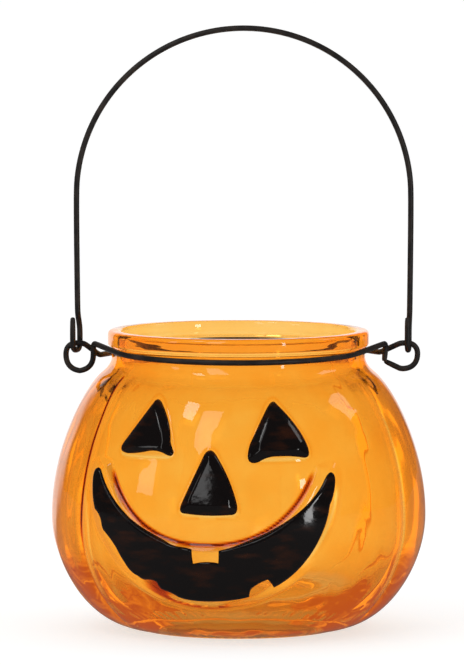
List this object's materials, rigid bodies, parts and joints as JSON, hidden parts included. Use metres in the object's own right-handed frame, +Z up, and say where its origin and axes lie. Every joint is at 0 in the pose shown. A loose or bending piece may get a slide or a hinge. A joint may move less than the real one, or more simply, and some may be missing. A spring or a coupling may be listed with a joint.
{
  "type": "pumpkin candle holder",
  "caption": "Ribbed amber glass jar for a candle, with a raised black jack-o'-lantern face, a wire round its neck and a wire bail to carry it by.",
  "frame": {"origin": "middle of the jar's foot, on the table", "axes": "+Z up along the jar's axis; the face looks to -Y, turned 9.6 degrees towards -X; the bail's two eyes lie on the left (-X) and right (+X)"},
  "size_m": [0.1155, 0.1181, 0.1868],
  "materials": {
    "glass": "clear amber glass, smooth and shiny, darker where it is thick",
    "enamel": "glossy black enamel",
    "wire": "satin black paint on steel wire"
  },
  "bodies": {
    "jar": {"glass_jar": "glass", "left_eye": "enamel", "right_eye": "enamel", "nose": "enamel", "mouth": "enamel"},
    "neck_wire": {"neck_wire": "wire"},
    "bail": {"bail_handle": "wire"}
  },
  "joints": [
    {"name": "neck_wire_turn", "type": "hinge", "parent": "jar", "child": "neck_wire", "pos_m": [0, 0, 0.0866], "axis": [0, 0, 1], "continuous": true},
    {"name": "bail_swing", "type": "hinge", "parent": "neck_wire", "child": "bail", "pos_m": [0, 0, 0.08855], "axis": [1, 0, 0], "range_deg": [-134, 134]}
  ]
}
